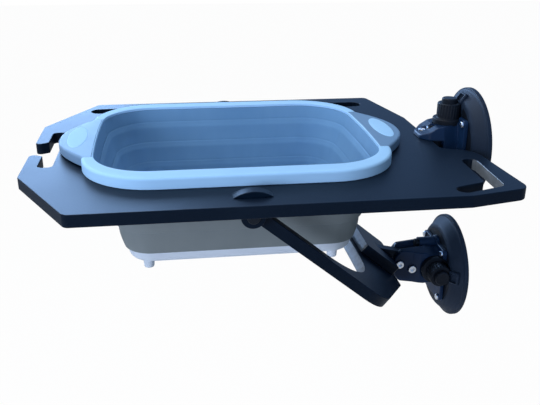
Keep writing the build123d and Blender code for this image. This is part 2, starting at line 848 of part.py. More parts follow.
def wall_band(index):
    """One band of the folding wall; each fits inside the one above it."""
    lap = band_lap if index > 0 else 0
    bottom = sum(band_depths[:index + 1])
    top = bottom - band_depths[index] - lap
    inner = index * band_step
    return tapered(inner - wall_thickness, top, bottom) - tapered(inner, top, bottom)


def basin_base():
    """Rigid tray that the last band of the wall ends in, with the drain hole."""
    outer = len(band_depths) * band_step - wall_thickness
    top = sum(band_depths) - band_lap
    bottom = sum(band_depths) + base_depth
    tray = tapered(outer, top, bottom) - tapered(outer + base_skin, top, bottom - base_floor)
    return tray - Pos(drain_x, 0, 0) * post(drain_radius, base_bottom - overcut, lip_bottom)


def basin_feet():
    drop = lip_bottom - base_bottom
    outer = len(band_depths) * band_step - wall_thickness
    x = opening_half_length + opening_bow - outer - end_lean * drop - foot_end_inset
    y = opening_half_width - outer - side_lean * drop - foot_side_inset
    foot = post(foot_radius, base_bottom - foot_height, base_bottom)
    return [Pos(sx * x, sy * y, 0) * foot for sx in (-1, 1) for sy in (-1, 1)]


def plug_groove(radius):
    """Ring-shaped space in the plug's stem, out to the given radius."""
    stem_radius = drain_radius - plug_fit
    return post(radius, -base_floor, -slot_fit) - post(stem_radius - seal_width, -base_floor, -slot_fit)


def drain_plug():
    plug = post(drain_radius + plug_flange_lap, 0, plug_flange_height)
    plug += post(drain_radius - plug_fit, -base_floor - plug_below, 0)
    plug += post(plug_knob_radius, 0, plug_flange_height + plug_knob_height)
    return plug - plug_groove(drain_radius)


for side, place in ((-1, "front"), (1, "rear")):
    save(f"hinge_plate_{place}", hinge_plate(side))
save("table_board", table_board())
save("pivot_bolts", pivot_bolt(-1), pivot_bolt(1))
save("pivot_nuts", pivot_nut(-1), pivot_nut(1))
save("pivot_bushes", pivot_bush(-1), pivot_bush(1))
save("support_yoke", support_yoke())
save("yoke_block", yoke_block())
save("yoke_block_screws", *[block_screw(s, y) for s, y in block_screw_spots()])
save("lower_tongue", lower_tongue())
save_cup("upper", upper)
save_cup("lower", lower)
save("basin_rim", basin_rim())
grip = right_grip()
grip_cap = oval_pad(slot_fit, oval_depth + oval_proud)
save("right_grip", grip)
save("left_grip", grip.mirror(Plane.YZ))
save("right_grip_cap", grip_cap)
save("left_grip_cap", grip_cap.mirror(Plane.YZ))
for index, name in enumerate(band_names):
    save(name, wall_band(index))
save("basin_base", basin_base())
save("basin_feet", *basin_feet())
plug_place = Pos(drain_x, 0, base_bottom + base_floor)
save("drain_plug", plug_place * drain_plug())
save("drain_seal", plug_place * plug_groove(drain_radius - plug_fit))
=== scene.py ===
import json
from math import asin, atan2, cos, hypot, pi, radians, sin, sqrt

import bpy
from mathutils import Matrix, Vector


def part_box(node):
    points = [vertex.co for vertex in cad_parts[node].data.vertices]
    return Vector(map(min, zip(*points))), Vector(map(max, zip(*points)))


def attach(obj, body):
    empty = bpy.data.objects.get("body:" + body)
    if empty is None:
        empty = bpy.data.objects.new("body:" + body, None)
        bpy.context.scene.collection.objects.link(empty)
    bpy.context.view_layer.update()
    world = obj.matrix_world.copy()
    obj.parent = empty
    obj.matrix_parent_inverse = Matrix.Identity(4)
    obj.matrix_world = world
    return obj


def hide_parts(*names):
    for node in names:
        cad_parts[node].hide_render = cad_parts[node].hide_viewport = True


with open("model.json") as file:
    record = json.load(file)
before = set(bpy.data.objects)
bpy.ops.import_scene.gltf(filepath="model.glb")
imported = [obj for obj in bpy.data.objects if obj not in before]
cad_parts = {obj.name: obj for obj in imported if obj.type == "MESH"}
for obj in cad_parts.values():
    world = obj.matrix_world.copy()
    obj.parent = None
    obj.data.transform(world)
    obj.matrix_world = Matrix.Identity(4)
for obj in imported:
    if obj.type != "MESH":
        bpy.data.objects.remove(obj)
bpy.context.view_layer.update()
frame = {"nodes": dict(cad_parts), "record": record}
record = frame["record"]
BODY_OF = {node: body for body, nodes in record["behaviour"]["bodies"].items() for node in nodes}
CUPS = ("upper", "lower")

mm = 0.001

# Photograph's camera: its place, heading and focal length
eye = Vector((-338.94, -736.97, 239.39)) * mm
pitch_down = radians(22.19)
yaw_right = radians(8.32)
roll = radians(0.45)
focal_pixels = 701.52
image_width = 540
sensor_width = 36.0

# Basin: outline at the lip, and how it draws in for each metre below the lip
opening_half_length = 141 * mm
opening_half_width = 117 * mm
opening_corner = 58 * mm
opening_bow = 5 * mm
end_lean = 0.205
side_lean = 0.09
corner_lean = 0.27
end_steps = 10
seam_steps = 3
corner_steps = 16
side_steps = 8

# Basin: rim, grips and caps
rim_end_width = 11 * mm
rim_side_width = 19 * mm
rim_corner_width = 14 * mm
rim_skin = 2.5 * mm
rim_outer_round = 3.2 * mm
rim_outer_steps = 9
rim_inner_round = 0.8 * mm
rim_inner_steps = 5
rim_hem = 0.6 * mm
lip_width = 2.6 * mm
lip_shown = 1.1 * mm
lip_depth = 3 * mm
skirt_edge = 4.6 * mm
skirt_round = 0.3 * mm
skirt_steps = 7
grip_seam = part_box("right_grip")[1].y
grip_seam_gap = 0.2 * mm
grip_lap = 2 * mm
grip_root = 14 * mm
grip_swell = 30 * mm
grip_swell_power = 1.1
grip_edge_round = 3.2 * mm
grip_edge_share = 0.4
grip_edge_steps = 7
grip_hem_round = 1.4 * mm
grip_hem_share = 0.2
grip_hem_steps = 4
grip_stations = 56
cap_edge = 0.8 * mm
cap_edge_drop = 0.1 * mm
cap_turn = cap_edge / 3
cap_turn_drop = 0.16 * mm
cap_side_drop = 0.4 * mm
cap_sides = 64

# Basin: folding wall
wall_thickness = 2.2 * mm
band_step = 2.6 * mm
band_edge = 0.7 * mm
band_taper = 8 * mm
band_bead = 0.36 * mm
bead_height = 6 * mm
band_bulge = {"wall_rim_band": 0.0, "wall_upper_band": 0.6 * mm,
              "wall_lower_band": 0.6 * mm, "wall_base_band": 1.2 * mm}
band_rows = 18
outward_share = 0.3
edge_tilt = 0.2

# Basin: base, feet and drain plug
base_skin = 2.5 * mm
base_round = 6.5 * mm
base_round_steps = 6
drain_gap = 0.55 * mm
drain_cut = 26 * mm
drain_sides = 96
foot_radius = 6 * mm
foot_taper = 0.85
foot_round = 1.5 * mm
foot_sides = 48
plug_sides = 72
plug_chamfer = 2 * mm
plug_chamfer_round = 1 * mm
plug_edge_round = 0.5 * mm
plug_flange_height = 1.6 * mm
plug_flange_round = 1.2 * mm
plug_crown = 3 * mm
knob_radius = 6 * mm
knob_round = 1.5 * mm
knob_top_share = 0.6
knob_neck_share = 0.7
knob_neck_rise = 5 * mm
knob_neck_round = 2 * mm

# Vacuum cups, in each cup's own frame: x to the wall, z towards the pump
cup_sides = 128
cup_dish = 6 * mm
cup_dish_share = 0.4
cup_web = 2 * mm
cup_web_round = 2 * mm
cup_pad = 14.1 * mm
cup_pad_round = 0.5 * mm
hub_land = 3 * mm
hub_sink = 0.2 * mm
hub_crown = 0.1 * mm
hub_round = 1.5 * mm
shoulder_set = 5 * mm
shoulder_rise = 1.5 * mm
shoulder_round = 3 * mm
dome_set = 6 * mm
dome_rise = 8 * mm
dome_round = 6 * mm
neck_set = 2.6 * mm
neck_round = 1.5 * mm
cup_lip = 8 * mm
cup_lip_edge = 5 * mm
cup_lip_top_set = 0.6 * mm
cup_lip_top_rise = 0.2 * mm
cup_lip_top_round = 0.5 * mm
cup_lip_side_rise = 1 * mm
cup_lip_side_round = 0.6 * mm
cup_lip_face_round = 0.3 * mm
cup_lip_inner_round = 2 * mm
chamber_edge = 2 * mm
chamber_round = 3 * mm
loop_set = 10.5 * mm
loop_rise = 3 * mm
loop_width = 15.5 * mm
loop_length = 13 * mm
loop_height = 5 * mm
loop_round = 1.8 * mm
loop_lean = radians(36)
loop_hole_width = 11 * mm
loop_hole_length = 8.5 * mm
loop_hole_rise = 1.25 * mm
loop_hole_round = 0.9 * mm

# Pumps
pump_sides = 192
pump_ring_step = 4 * mm
pump_ring_height = 7 * mm
pump_ring_round = 1.2 * mm
pump_foot_round = 0.8 * mm
pump_neck_rise = 0.3 * mm
pump_neck_round = 0.4 * mm
pump_top_chamfer = 0.6 * mm
pump_bore_gap = 0.1 * mm
pump_bore_round = 0.3 * mm
pump_floor = 3 * mm
flute_count = 24
flute_depth = 0.55 * mm
flute_margin = 1.2 * mm

# Painted highlight on sheet faces turned towards the light: up the sloping support, and inside the carry
# handle at the board's right end
support_slope = radians(39.5)
up_slope = Vector((-cos(support_slope), 0.0, sin(support_slope)))
leftwards = Vector((-1.0, 0.0, 0.0))
handle_corner = Vector((-90 * mm, 0.0, 0.0))
highlight_facing_share = 0.7

# Edge rounding of the sheet, moulded and metal pieces
board_edge = 0.8 * mm
sheet_edge = 0.7 * mm
hood_edge = 1.1 * mm
jaw_edge = 0.9 * mm
valve_edge = 0.6 * mm
plunger_edge = 0.3 * mm
nose_screw_edge = 0.35 * mm
flange_screw_edge = 0.6 * mm
pivot_edge = 0.2 * mm
edge_segments = 3
block_segments = 4
turn_steps = 4
weld = 0.002 * mm
flat_angle = radians(1.0)
flat_weight = 100
sharp_angle = radians(32)
smooth_angle = radians(38)

# Studio surroundings, with the headings (x of a direction) between which gloss turns from white to blue
white_light = (1, 1, 1, 1)
dim_light = (0.80, 0.90, 1.0, 1)
dim_strength = 0.32
blue_light = (0.30, 0.53, 1.0, 1)
white_until = -0.40
blue_from = -0.05

# Studio floor
floor_size = 14.0
floor_back = 2.0
floor_level = -0.85
floor_colour = (0.82, 0.83, 0.85, 1)
floor_glow = 0.97

# Mix node's sockets for colours
mix_from = 6
mix_to = 7
mix_result = 2


def basin_centre():
    """Middle of the basin, at the board's top."""
    low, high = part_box("basin_rim")
    return Vector(((low.x + high.x) / 2, 0.0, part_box("table_board")[1].z))


BASIN = basin_centre()
RIM_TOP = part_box("basin_rim")[1].z - BASIN.z
LIP_BOTTOM = RIM_TOP - lip_depth


# Selection, seating and shaping

def only(piece):
    """Make a piece the one selected and active object."""
    bpy.ops.object.select_all(action="DESELECT")
    piece.select_set(True)
    bpy.context.view_layer.objects.active = piece


def edit(piece):
    """Open a piece in edit mode with all of it selected."""
    only(piece)
    bpy.ops.object.mode_set(mode="EDIT")
    bpy.ops.mesh.select_all(action="SELECT")


def close_edit():
    bpy.ops.object.mode_set(mode="OBJECT")


def smooth(piece):
    """Shade a piece smooth, except across its sharp edges."""
    only(piece)
    bpy.ops.object.shade_smooth_by_angle(angle=smooth_angle)


def even_out(piece):
    """Let broad flat faces keep flat shading right up to their rounded edges."""
    weighted = piece.modifiers.new("flat_faces", "WEIGHTED_NORMAL")
    weighted.keep_sharp = True
    weighted.use_face_influence = True
    weighted.weight = flat_weight
    only(piece)
    bpy.ops.object.modifier_apply(modifier=weighted.name)


def combine(piece, tool, operation):
    """Join or cut a piece with a tool shape, which is then removed."""
    change = piece.modifiers.new(operation.lower(), "BOOLEAN")
    change.operation = operation
    change.object = tool
    only(piece)
    bpy.ops.object.modifier_apply(modifier=change.name)
    bpy.data.objects.remove(tool)


def rounded_block(place, size, radius):
    """A block with round edges, centred on a placing matrix."""
    bpy.ops.object.select_all(action="DESELECT")
    bpy.ops.mesh.primitive_cube_add(size=1)
    block = bpy.context.object
    block.data.transform(Matrix.Diagonal((*size, 1)))
    bevel = block.modifiers.new("edges", "BEVEL")
    bevel.width = radius
    bevel.segments = block_segments
    only(block)
    bpy.ops.object.modifier_apply(modifier=bevel.name)
    block.data.transform(place)
    return block


def seat(piece, finish, *nodes):
    """Finish a piece, and let it stand for CAD nodes and ride on their body."""
    piece.data.materials.clear()
    piece.data.materials.append(finish)
    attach(piece, BODY_OF[nodes[0]])
    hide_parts(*nodes)
    return piece


def paint(finish, *nodes):
    """Give a finish to CAD nodes that keep their own shape."""
    for node in nodes:
        for material_slot in frame["nodes"][node].material_slots:
            material_slot.material = finish


def steps(start, end, count):
    """Even values from start to end, both included."""
    return [start + (end - start) * index / count for index in range(count + 1)]


def wrapped(name, rings):
    """A skin through closed rings of points: a grid, laid ring by ring and joined along its seam."""
    bpy.ops.object.select_all(action="DESELECT")
    columns = len(rings[0])
    bpy.ops.mesh.primitive_grid_add(x_subdivisions=columns, y_subdivisions=len(rings) - 1)
    piece = bpy.context.object
    piece.name = name
    points = [point for ring in rings for point in [*ring, ring[0]]]
    for vertex, point in zip(piece.data.vertices, points, strict=True):
        vertex.co = point
    piece.location = (0, 0, 0)
    edit(piece)
    bpy.ops.mesh.remove_doubles(threshold=weld)
    bpy.ops.mesh.dissolve_degenerate(threshold=weld)
    bpy.ops.mesh.normals_make_consistent(inside=False)
    close_edit()
    smooth(piece)
    return piece


def shrunk(ring):
    """A ring drawn together to its middle, which closes an end."""
    middle = sum((Vector(point) for point in ring), Vector()) / len(ring)
    return [middle] * len(ring)


def lathe(name, profile, place, sides, flute=None):
    """A turned piece: profile points (radius, height) about the z axis of a placing matrix."""
    rings = []
    for radius, height in profile:
        ring = []
        for side in range(sides):
            angle = 2 * pi * side / sides
            reach = radius - flute(angle, radius, height) if flute else radius
            ring.append(place @ Vector((reach * cos(angle), reach * sin(angle), height)))
        rings.append(ring)
    return wrapped(name, rings)


def rounded_turn(corners):
    """Profile through corners (radius, height, round), each rounded with an arc-like curve."""
    points = []
    last = len(corners) - 1
    for index, (radius, height, reach) in enumerate(corners):
        here = Vector((radius, height))
        if reach == 0 or index in (0, last):
            points.append((radius, height))
            continue
        back = Vector(corners[index - 1][:2]) - here
        onward = Vector(corners[index + 1][:2]) - here
        start = here + back.normalized() * min(reach, back.length / 2)
        end = here + onward.normalized() * min(reach, onward.length / 2)
        for share in steps(0, 1, turn_steps):
            point = start * (1 - share) ** 2 + here * (2 * share * (1 - share)) + end * share ** 2
            points.append((point.x, point.y))
    return points


def eased(node, finish, radius):
    """A CAD node's own shape with its sharp edges rounded."""
    source = frame["nodes"][node]
    piece = bpy.data.objects.new(f"{node}_eased", source.data.copy())
    bpy.context.collection.objects.link(piece)
    edit(piece)
    bpy.ops.mesh.customdata_custom_splitnormals_clear()
    bpy.ops.mesh.remove_doubles(threshold=weld)
    bpy.ops.mesh.dissolve_limited(angle_limit=flat_angle)
    bpy.ops.mesh.quads_convert_to_tris(quad_method="BEAUTY", ngon_method="BEAUTY")
    close_edit()
    bevel = piece.modifiers.new("edges", "BEVEL")
    bevel.width = radius
    bevel.segments = edge_segments
    bevel.limit_method = "ANGLE"
    bevel.angle_limit = sharp_angle
    bevel.use_clamp_overlap = False
    bevel.miter_outer = "MITER_ARC"
    bevel.face_strength_mode = "FSTR_ALL"
    bevel.loop_slide = False
    only(piece)
    bpy.ops.object.modifier_apply(modifier=bevel.name)
    smooth(piece)
    even_out(piece)
    return seat(piece, finish, node)


# Materials

class Wire:
    """An output socket of a material; Python's operators on it add Math nodes."""

    def __init__(self, tree, socket):
        self.tree = tree
        self.socket = socket

    def node(self, kind, inputs, output=0, **settings):
        """Add a node: its settings first, then the values or wires of its sockets."""
        made = self.tree.nodes.new(kind)
        for name, value in settings.items():
            setattr(made, name, value)
        for name, value in inputs.items():
            if isinstance(value, Wire):
                self.tree.links.new(value.socket, made.inputs[name])
            else:
                made.inputs[name].default_value = value
        return Wire(self.tree, made.outputs[output])

    def math(self, operation, first, second):
        return self.node("ShaderNodeMath", {0: first, 1: second}, operation=operation)

    def __add__(self, other):
        return self.math("ADD", self, other)

    def __mul__(self, other):
        return self.math("MULTIPLY", self, other)

    __radd__ = __add__
    __rmul__ = __mul__

    def noise(self, scale, detail):
        """Noise from 0 to 1 over this vector, with about one swell per 1/scale metres."""
        return self.node("ShaderNodeTexNoise", {"Vector": self, "Scale": scale, "Detail": detail})

    def stretched(self, x, y, z):
        """This vector with each axis scaled."""
        return self.node("ShaderNodeMapping", {"Vector": self, "Scale": (x, y, z)})

    def between(self, low, high):
        """This value spread so that low becomes 0 and high becomes 1, limited to that."""
        return self.node("ShaderNodeMapRange", {"Value": self, "From Min": low, "From Max": high})

    def tint(self, low, high):
        """Colour from low to high as this value goes from 0 to 1."""
        inputs = {0: self, mix_from: (*low, 1), mix_to: (*high, 1)}
        return self.node("ShaderNodeMix", inputs, output=mix_result, data_type="RGBA")

    def bump(self, height, strength):
        """Normal of a surface that stands up by this value times height, in metres."""
        return self.node("ShaderNodeBump", {"Height": self, "Distance": height, "Strength": strength})


def new_finish(name, **constants):
    """A material with constant shader sockets set, its shader and its Object coordinates."""
    material = bpy.data.materials.new(name)
    material.use_nodes = True
    tree = material.node_tree
    shader = tree.nodes["Principled BSDF"]
    for socket, value in constants.items():
        shader.inputs[socket.replace("_", " ")].default_value = value
    coordinates = tree.nodes.new("ShaderNodeTexCoord")
    return material, shader, Wire(tree, coordinates.outputs["Object"])


def connect(shader, **wires):
    """Lead wires to the shader's sockets of those names."""
    for socket, wire in wires.items():
        wire.tree.links.new(wire.socket, shader.inputs[socket.replace("_", " ")])


def black_sheet():
    """Black textured plastic sheet with a fine pebbled face."""
    material, shader, place = new_finish("black_sheet", Specular_IOR_Level=0.1)
    pebble = place.noise(scale=750, detail=1)
    cloud = place.noise(scale=9, detail=3)
    shade = cloud * 0.6 + pebble * 0.4
    connect(shader,
            Base_Color=shade.between(0.3, 0.7).tint((0.001, 0.005, 0.013), (0.003, 0.009, 0.020)),
            Roughness=0.33 + cloud * 0.1 + pebble * 0.08,
            Normal=pebble.bump(height=0.12 * mm, strength=0.35))
    return material


def painted_edge_highlight():
    """Cut edge of the black sheet, painted pale as a painted highlight, and smooth."""
    material, shader, place = new_finish("painted_edge_highlight", Specular_IOR_Level=0.3)
    highlight_streak = place.stretched(0.3, 1.0, 1.0).noise(scale=160, detail=3)
    grain = place.noise(scale=1200, detail=1)
    connect(shader,
            Base_Color=highlight_streak.between(0.3, 0.7).tint((0.10, 0.115, 0.13), (0.15, 0.17, 0.19)),
            Roughness=0.34 + highlight_streak * 0.14,
            Normal=grain.bump(height=0.04 * mm, strength=0.3))
    return material


def hood_plastic():
    """Dark moulded plastic with a slight gloss."""
    material, shader, place = new_finish("hood_plastic", Specular_IOR_Level=0.15)
    grain = place.noise(scale=1400, detail=1)
    cloud = place.noise(scale=30, detail=2)
    connect(shader,
            Base_Color=cloud.between(0.3, 0.7).tint((0.003, 0.013, 0.040), (0.006, 0.021, 0.060)),
            Roughness=0.30 + cloud * 0.12,
            Normal=grain.bump(height=0.05 * mm, strength=0.3))
    return material


def pump_plastic():
    """Black plastic of the pump, plunger and release button."""
    material, shader, place = new_finish("pump_plastic", Specular_IOR_Level=0.15)
    cloud = place.noise(scale=60, detail=2)
    grain = place.noise(scale=1800, detail=1)
    connect(shader,
            Base_Color=cloud.between(0.3, 0.7).tint((0.003, 0.005, 0.009), (0.006, 0.009, 0.015)),
            Roughness=0.38 + cloud * 0.14,
            Normal=grain.bump(height=0.04 * mm, strength=0.3))
    return material


def black_rubber():
    """Black rubber with a dull bloom."""
    material, shader, place = new_finish("black_rubber", Specular_IOR_Level=0.15)
    bloom = place.noise(scale=22, detail=4)
    speck = place.noise(scale=900, detail=1)
    shade = bloom * 0.8 + speck * 0.2
    connect(shader,
            Base_Color=shade.between(0.3, 0.75).tint((0.005, 0.011, 0.024), (0.012, 0.022, 0.042)),
            Roughness=0.46 + bloom * 0.2,
            Normal=speck.bump(height=0.06 * mm, strength=0.3))
    return material


def satin_plastic(name, low, high):
    """Pale satin plastic with faint unevenness."""
    material, shader, place = new_finish(name, Specular_IOR_Level=0.08)
    cloud = place.noise(scale=12, detail=3)
    grain = place.noise(scale=500, detail=2)
    connect(shader,
            Base_Color=cloud.between(0.25, 0.75).tint(low, high),
            Roughness=0.58 + cloud * 0.12 + grain * 0.08,
            Normal=grain.bump(height=0.05 * mm, strength=0.2))
    return material


def soft_rubber(name, low, high, shine=0.15, rough=0.55):
    """Soft moulded rubber with a slightly streaked face."""
    material, shader, place = new_finish(name, Specular_IOR_Level=shine)
    streak = place.stretched(1.0, 1.0, 0.25).noise(scale=45, detail=3)
    cloud = place.noise(scale=10, detail=4)
    grain = place.noise(scale=900, detail=1)
    shade = streak * 0.35 + cloud * 0.65
    connect(shader,
            Base_Color=shade.between(0.3, 0.7).tint(low, high),
            Roughness=rough + streak * 0.14,
            Normal=grain.bump(height=0.06 * mm, strength=0.3))
    return material


def bright_steel():
    """Bright zinc-plated steel with fine turning marks."""
    material, shader, place = new_finish("bright_steel", Metallic=1.0)
    mark = place.noise(scale=2400, detail=2)
    cloud = place.noise(scale=120, detail=2)
    connect(shader,
            Base_Color=cloud.tint((0.62, 0.64, 0.67), (0.80, 0.82, 0.84)),
            Roughness=0.20 + mark * 0.14,
            Normal=mark.bump(height=0.02 * mm, strength=0.25))
    return material


def black_steel():
    """Blackened steel, worn a little on its face; also laid on one nose screw as painted shade."""
    material, shader, place = new_finish("black_steel", Specular_IOR_Level=0.12)
    mark = place.noise(scale=1500, detail=2)
    cloud = place.noise(scale=140, detail=2)
    connect(shader,
            Base_Color=cloud.tint((0.006, 0.009, 0.014), (0.014, 0.018, 0.025)),
            Roughness=0.32 + mark * 0.16,
            Normal=mark.bump(height=0.02 * mm, strength=0.25))
    return material


def bearing_plastic():
    """Pale slippery plastic of the pivot bushes."""
    material, shader, place = new_finish("bearing_plastic")
    cloud = place.noise(scale=200, detail=2)
    connect(shader,
            Base_Color=cloud.tint((0.50, 0.50, 0.47), (0.60, 0.60, 0.57)),
            Roughness=0.4 + cloud * 0.1)
    return material


SHEET = black_sheet()
# Pale colour laid only on faces that face the light: a painted highlight.
PAINTED_EDGE_HIGHLIGHT = painted_edge_highlight()
HOOD = hood_plastic()
PUMP = pump_plastic()
RUBBER = black_rubber()
STEEL = bright_steel()
BLACK_STEEL_AND_SHADE = black_steel()
BEARING = bearing_plastic()
# These whites and the grip's grey are their own colour with a painted blue cast of sky light over it.
RIM_WHITE = satin_plastic("rim_white", (0.32, 0.58, 0.90), (0.36, 0.63, 0.95))
BASE_WHITE = satin_plastic("base_white", (0.47, 0.55, 0.65), (0.52, 0.60, 0.70))
GRIP_GREY = soft_rubber("grip_grey", (0.13, 0.24, 0.40), (0.16, 0.28, 0.45), shine=0.14, rough=0.44)
# The wall's inside is its grey rubber painted blue as painted sky light; the outside stays grey.
WALL_INSIDE_SKY_LIT = soft_rubber("wall_inside_sky_lit", (0.12, 0.27, 0.48), (0.16, 0.33, 0.55))
WALL_OUTSIDE = soft_rubber("wall_outside", (0.136, 0.166, 0.182), (0.166, 0.198, 0.212))


# Basin outline

def quarter(half_length, half_width, corner, seam=None):
    """Outline of a bowed oblong from the middle of its end to the middle of its side.

    With a seam, the point at that y is doubled, so that a piece can change there.
    """
    big = (half_width ** 2 + opening_bow ** 2) / (2 * opening_bow)
    centre = half_length + opening_bow - big
    corner_y = half_width - corner
    corner_x = centre + sqrt((big - corner) ** 2 - corner_y ** 2)
    start = atan2(corner_y, corner_x - centre)

    def round_corner(angle):
        return (corner_x + corner * cos(angle), corner_y + corner * sin(angle))

    points = [(centre + big * cos(angle), big * sin(angle)) for angle in steps(0, start, end_steps)]
    if seam:
        split = asin((seam - corner_y) / corner)
        points += [round_corner(angle) for angle in steps(start, split, seam_steps)[1:]]
        points += [round_corner(angle) for angle in steps(split, pi / 2, corner_steps)]
    else:
        points += [round_corner(angle) for angle in steps(start, pi / 2, corner_steps)[1:]]
    return points + [(x, half_width) for x in steps(corner_x, 0, side_steps)[1:]]


def opening(inset, drop=0.0, seam=None):
    """A quarter of the basin's outline drawn in by inset, at a drop below the lip."""
    return quarter(opening_half_length - inset - end_lean * drop,
                   opening_half_width - inset - side_lean * drop,
                   opening_corner - inset - corner_lean * drop, seam)


def drop_to(level):
    """How far below the lip a height of the part lies."""
    return LIP_BOTTOM - (level - BASIN.z)


def all_round(points, heights):
    """Whole ring, in the part's frame, from a quarter's points and their heights above the board."""
    quarter_ring = [(x, y, z) for (x, y), z in zip(points, heights, strict=True)]
    half = quarter_ring + [(-x, y, z) for x, y, z in reversed(quarter_ring[:-1])]
    ring = half + [(x, -y, z) for x, y, z in reversed(half[1:-1])]
    return [BASIN + Vector(point) for point in ring]


def level_ring(points, height):
    return all_round(points, [height] * len(points))


# Rim, grips and caps

def arc_section(middle_d, middle_z, radius, start, end, count):
    """Points along an arc of a section, from one angle to another."""
    return [(middle_d + radius * cos(angle), middle_z + radius * sin(angle))
            for angle in steps(start, end, count)]


def rim_section(width):
    """Cross-section (distance from the inner edge, height) of the rim where it is that wide."""
    whole = width > skirt_edge + rim_skin
    wall = width - rim_skin if whole else width
    ceiling = RIM_TOP - rim_skin if whole else 0.0
    inner_face = arc_section(rim_inner_round, RIM_TOP - rim_inner_round, rim_inner_round,
                             pi, pi / 2, rim_inner_steps)
    if whole:
        outer_face = arc_section(width - rim_outer_round, RIM_TOP - rim_outer_round, rim_outer_round,
                                 pi / 2, 0, rim_outer_steps)
    else:
        outer_face = arc_section(lip_shown - skirt_round, RIM_TOP - skirt_round, skirt_round,
                                 pi / 2, 0, skirt_steps)
        outer_face += [(lip_shown, RIM_TOP - grip_lap), (width, RIM_TOP - grip_lap)]
    hem = rim_hem if whole else 0.0
    return [
        (0.0, LIP_BOTTOM), *inner_face, *outer_face, (width, hem), (width - hem, 0.0),
        (wall, 0.0), (wall, ceiling), (skirt_edge, ceiling), (skirt_edge, 0.0),
        (lip_width, 0.0), (lip_width, LIP_BOTTOM),
    ]


def rim():
    """White ring round the basin; at each end only its lip and skirt run on behind the grip."""
    inner = opening(0.0, seam=grip_seam)
    skirt = opening(-skirt_edge, seam=grip_seam)
    outer = quarter(opening_half_length + rim_end_width, opening_half_width + rim_side_width,
                    opening_corner + rim_corner_width, seam=grip_seam)
    behind_grip = end_steps + seam_steps + 1
    edge = skirt[:behind_grip] + outer[behind_grip:]
    columns = []
    for (x0, y0), (x1, y1) in zip(inner, edge, strict=True):
        width = hypot(x1 - x0, y1 - y0)
        share = [(d / width, z) for d, z in rim_section(width)]
        columns.append([((x0 + (x1 - x0) * t, y0 + (y1 - y0) * t), z) for t, z in share])
    rows = list(zip(*columns, strict=True))
    rings = [all_round([point for point, _ in row], [z for _, z in row]) for row in rows]
    seat(wrapped("rim_ring", rings + rings[:1]), RIM_WHITE, "basin_rim")


def outline_x(points, y):
    """Where a quarter outline crosses a given y, as x."""
    spans = zip(points, points[1:])
    (x0, y0), (x1, y1) = next((a, b) for a, b in spans if a[1] <= y <= b[1])
    return x0 + (x1 - x0) * (y - y0) / (y1 - y0)


def grip_reach(y):
    """How far the grip swells outwards at a given y, as x."""
    turn = pi / 2 * (abs(y) / grip_seam) ** grip_swell_power
    return opening_half_length + grip_root + grip_swell * cos(turn)


def grip_section(inner, outer, bottom, drawn_in):
    """Closed section (x, z) of a grip, a little smaller where it meets a seam."""
    top = RIM_TOP - drawn_in
    low = bottom + drawn_in
    edge = min(grip_edge_round, grip_edge_share * (outer - inner))
    hem = min(grip_hem_round, grip_hem_share * (outer - inner))
    shelf = RIM_TOP - grip_lap + grip_seam_gap
    lip = inner - skirt_edge + lip_shown
    return [
        (inner, low), (inner, shelf), (lip, shelf), (lip, top - skirt_round), (lip + skirt_round, top),
        *arc_section(outer - edge, top - edge, edge, pi / 2, 0, grip_edge_steps),
        *arc_section(outer - hem, low + hem, hem, 0, -pi / 2, grip_hem_steps),
    ]


def grip(side):
    """Soft end grip, between the two seams of the rim; side is 1 at the wall's end."""
    node = "right_grip" if side > 0 else "left_grip"
    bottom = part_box(node)[0].z - BASIN.z
    skirt = opening(-skirt_edge)
    reach = grip_seam - grip_seam_gap
    rings = []
    for share in steps(-1, 1, grip_stations):
        y = reach * sin(share * pi / 2)
        inner = outline_x(skirt, abs(y)) + grip_seam_gap
        drawn_in = skirt_round if abs(share) == 1 else 0.0
        section = grip_section(inner, grip_reach(y), bottom, drawn_in)
        rings.append([BASIN + Vector((side * x, y, z)) for x, z in section])
    piece = wrapped(f"{node}_body", [shrunk(rings[0]), *rings, shrunk(rings[-1])])
    seat(piece, GRIP_GREY, node)


def grip_cap(side):
    """Oval cap in the grip's top, slightly domed."""
    node = "right_grip_cap" if side > 0 else "left_grip_cap"
    low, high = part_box(node)
    middle = (low + high) / 2
    half_x = (high.x - low.x) / 2
    half_y = (high.y - low.y) / 2
    dome = [
        (0.0, low.z),
        (0.0, high.z - cap_side_drop),
        (cap_turn, high.z - cap_turn_drop),
        (cap_edge, high.z - cap_edge_drop),
        (half_x / 2, high.z),
        (half_x, high.z),
    ]
    turns = steps(0, 2 * pi, cap_sides)[:-1]
    rings = []
    for inset, height in dome:
        share = 1 - inset / half_x
        reach_x = half_x * share
        reach_y = half_y * share
        rings.append([Vector((middle.x + reach_x * cos(turn), middle.y + reach_y * sin(turn), height))
                      for turn in turns])
    seat(wrapped(f"{node}_oval", [shrunk(rings[0]), *rings]), RIM_WHITE, node)


# Folding wall, base, feet and plug

def band_section(node, index, top, bottom):
    """Section (inset, drop) of a wall band.

    Below the first, its top thins to a soft edge, with a bead that closes on the band above.
    """
    outer = index * band_step - wall_thickness
    edge = band_edge if index else wall_thickness
    bead = band_bead if index else 0.0
    low = bottom - band_edge
    outside = []
    inside = []
    for share in steps(0, 1, band_rows):
        drop = top + band_edge + (low - top - band_edge) * share
        grown = (1 - cos(pi * min(1.0, (drop - top) / band_taper))) / 2
        swell = band_bulge[node] * sin(pi * share)
        closing = bead * max(0.0, 1 - (drop - top) / bead_height)
        outside.append((outer - swell - closing, drop))
        inside.append((outer + edge + (wall_thickness - edge) * grown - swell, drop))
    return [(outer + edge / 2, top), *outside, (outer + wall_thickness / 2, bottom), *inside[::-1]]


